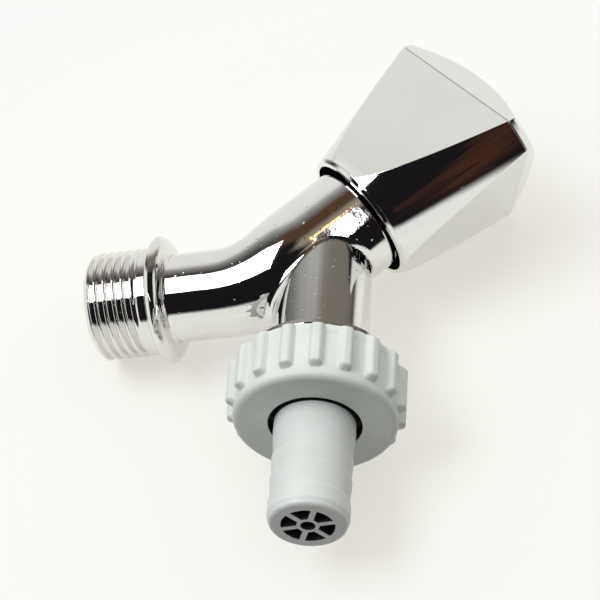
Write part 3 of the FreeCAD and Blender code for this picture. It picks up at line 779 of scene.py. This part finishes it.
def makeUnionNut():
    form = nutForm
    skin = Skin()

    def keep(middles):
        radius, level = outletAxis.polar(middles)
        return ~((radius > form["boreR"] + 0.02) | (level < form["holeTop"] - 0.02))

    skin.addCad("union_nut", keep)
    start = (form["outR"] - form["round"], form["bottom"])
    arc = [(start[0] + form["round"] * math.sin(a), form["bottom"] + form["round"] * (1 - math.cos(a)))
           for a in np.linspace(0.0, math.pi / 2, 9)]
    under = soften([(form["holeR"], form["holeTop"] - 0.2), (form["holeR"], form["bottom"]), start], form["holeEdge"])
    side = soften([arc[-1], (form["outR"], form["top"]), (form["boreR"] + 0.2, form["top"])], form["topEdge"])
    line = np.vstack((under[:-1], arc[:-1], fillIn(side, form["step"])))
    turns = np.linspace(0.0, 2 * math.pi, form["ribs"] * form["columns"] + 1)[:-1] + math.radians(form["ribTurn"])
    pitch = 2 * math.pi / form["ribs"]
    away = ((turns - math.radians(form["ribTurn"]) + pitch / 2) % pitch - pitch / 2) * form["outR"] * form["ribSpread"]
    level = line[:, 1:]
    wide = np.abs(away) - (form["ribHalf"] - form["ribCorner"])
    deep = (form["bottom"] + form["ribFoot"] - level) * form["footSteep"] + form["ribCorner"]
    gap = np.hypot(np.maximum(wide, 0), np.maximum(deep, 0)) + np.minimum(np.maximum(wide, deep), 0)
    gap = gap - form["ribCorner"]  # below 0 on the rib
    inside = np.clip(-gap / form["ribEdge"], 0.0, 1.0)
    rib = form["ribHeight"] * np.sqrt(1 - (1 - inside) ** 2)
    root = form["rootHeight"] * np.clip(1 - gap / form["rootReach"], 0.0, 1.5) ** 2
    fall = np.clip((form["top"] - level) / form["fall"], 0.0, 1.0)
    bandFoot = form["top"] - form["bandDrop"]
    band = form["band"] * smooth(level, bandFoot - 0.08, bandFoot + 0.08)
    swell = np.maximum(np.maximum(rib, root), band) * fall ** 0.75
    swell = swell * (line[:, :1] > start[0] + 0.5)
    first, last = skin.addGrid(outletAxis.turned(line, turns, swell))
    hole = skin.ringOf(outletAxis.local, form["holeR"], form["holeTop"])
    inward = -unit(outletAxis.local(skin.points[hole]) * (1, 1, 0)) @ outletAxis.spin
    skin.zipRings((hole, inward), first, outletAxis.local)
    mouth = skin.ringOf(outletAxis.local, form["boreR"], form["top"])
    skin.zipRings(last, (mouth, np.tile((0.0, 0.0, 1.0), (len(mouth), 1))), outletAxis.local)
    nut = skin.make("ribbed_union_nut", "nutPlastic", "union_nut", "union_nut")

    def inShadedGap(radius, level):  # painted shade: the gap round the tail is painted near-black, for the shade in it
        return radius < form["holeR"] + 0.05 and form["bottom"] + form["dim"] < level < form["holeTop"] + 0.01

    paintShade(nut, inShadedGap)
    return nut


# hose tail: soft barbs and a rounded tip
tailForm = {
    "under": -31.05, "bottom": -33.65, "rootR": 8.0, "neckR": 7.5, "dim": 0.35,
    "waistR": 7.25, "waist": 6.2, "flare": 0.15,
    "barbR": 7.45, "valleyR": 7.15, "barbs": (7.5, 12.0, 16.9), "barbStep": 0.45, "land": 2.8,
    "tip": -55.3, "tipRound": 0.8, "soft": 0.22, "columns": 120,
    "boreR": 5.65, "boreFrom": 0.35,
}


def makeHoseTail():
    form = tailForm
    skin = Skin()
    faceR = form["valleyR"] - form["tipRound"]

    def keep(middles):
        radius, level = outletAxis.polar(middles)
        return ~((level < form["under"] - 0.02) & (radius > faceR + 0.02))

    skin.addCad("hose_tail", keep)
    tipArc = [(faceR + form["tipRound"] * math.sin(a), form["tip"] + form["tipRound"] * (1 - math.cos(a)))
              for a in np.linspace(0.0, math.pi / 2, 8)]
    line = [(form["barbR"], form["bottom"] - form["barbs"][-1] - form["barbStep"] - form["land"])]
    for k, drop in reversed(list(enumerate(form["barbs"]))):
        line.append((form["barbR"], form["bottom"] - drop - form["barbStep"]))
        line.append((form["valleyR"] if k else form["waistR"], form["bottom"] - drop))
    waist = np.array((form["waistR"], form["bottom"] - form["waist"]))
    root = np.array((form["neckR"], form["bottom"]))
    for share in np.linspace(0.0, 1.0, 6):
        line.append(tuple(waist + (root - waist) * share + (form["flare"] * 4 * share * (1 - share), 0.0)))
    line += [(form["neckR"], form["under"] - 0.9), (form["rootR"], form["under"] - 0.2)]
    line = np.vstack((tipArc[1:-1], soften([tipArc[-1]] + line, form["soft"], 4)))
    turns = np.linspace(-math.pi, math.pi, form["columns"] + 1)[:-1]
    first, last = skin.addGrid(outletAxis.turned(line, turns))
    rim = skin.ringOf(outletAxis.local, faceR, form["tip"])
    skin.zipRings((rim, np.tile((0.0, 0.0, -1.0), (len(rim), 1))), first, outletAxis.local)
    top = skin.ringOf(outletAxis.local, form["rootR"], form["under"])
    outward = unit(outletAxis.local(skin.points[top]) * (1, 1, 0)) @ outletAxis.spin
    skin.zipRings(last, (top, outward), outletAxis.local)
    tail = skin.make("barbed_hose_tail", "tailPlastic", "hose_tail", "hose_tail")

    def inShade(radius, level):  # painted shade: the bore behind the spokes, and the neck up in the nut, are painted near-black for the shade in them
        inBore = radius < form["boreR"] and level > form["tip"] + form["boreFrom"]
        return inBore or form["bottom"] + form["dim"] < level < form["under"]

    paintShade(tail, inShade)
    return tail


def makeCheckSpring():
    skin = Skin()
    skin.addCad("check_spring", lambda middles: np.full(len(middles), True))
    spring = skin.make("closing_check_spring", "springSteel", "check_spring", "hose_tail")
    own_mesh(spring)
    return spring


makeThreadedBody()
makeHandle()
makeUnionNut()
makeHoseTail()
makeCheckSpring()

scene.view_settings.view_transform = "Standard"
